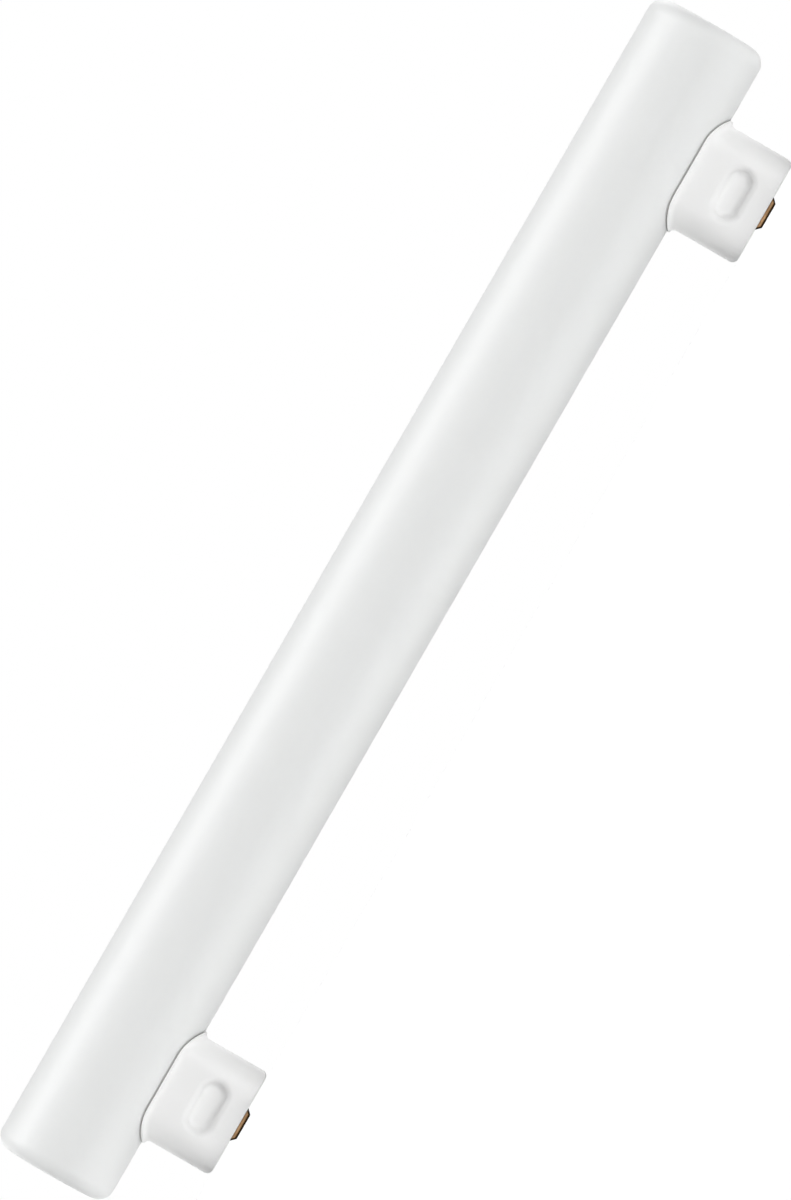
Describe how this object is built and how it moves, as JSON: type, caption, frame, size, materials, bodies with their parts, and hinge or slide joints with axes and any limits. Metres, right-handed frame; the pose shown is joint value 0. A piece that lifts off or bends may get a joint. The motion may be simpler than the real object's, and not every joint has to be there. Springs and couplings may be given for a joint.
{
  "type": "tubular light bulb",
  "caption": "Straight opal tube lamp with side caps near its ends; each cap plugs sideways into a holder, and has latch pockets and a brass contact pad.",
  "frame": {"origin": "midway between the two contacts, on the plane that their outer faces share", "axes": "+X along the tube, +Z from the contacts up through the tube, +Y across it"},
  "size_m": [0.3, 0.029, 0.0472],
  "materials": {
    "opal_glass": "drawn glass, satin outside, opal white",
    "cap_plastic": "moulded white plastic, satin",
    "contact_brass": "pressed brass, slightly dulled",
    "lead_wire": "drawn and tinned copper wire"
  },
  "bodies": {
    "root": {"opal_tube": "opal_glass", "left_cap": "cap_plastic", "right_cap": "cap_plastic", "left_contact": "contact_brass", "right_contact": "contact_brass", "left_lead": "lead_wire", "right_lead": "lead_wire"}
  },
  "joints": []
}
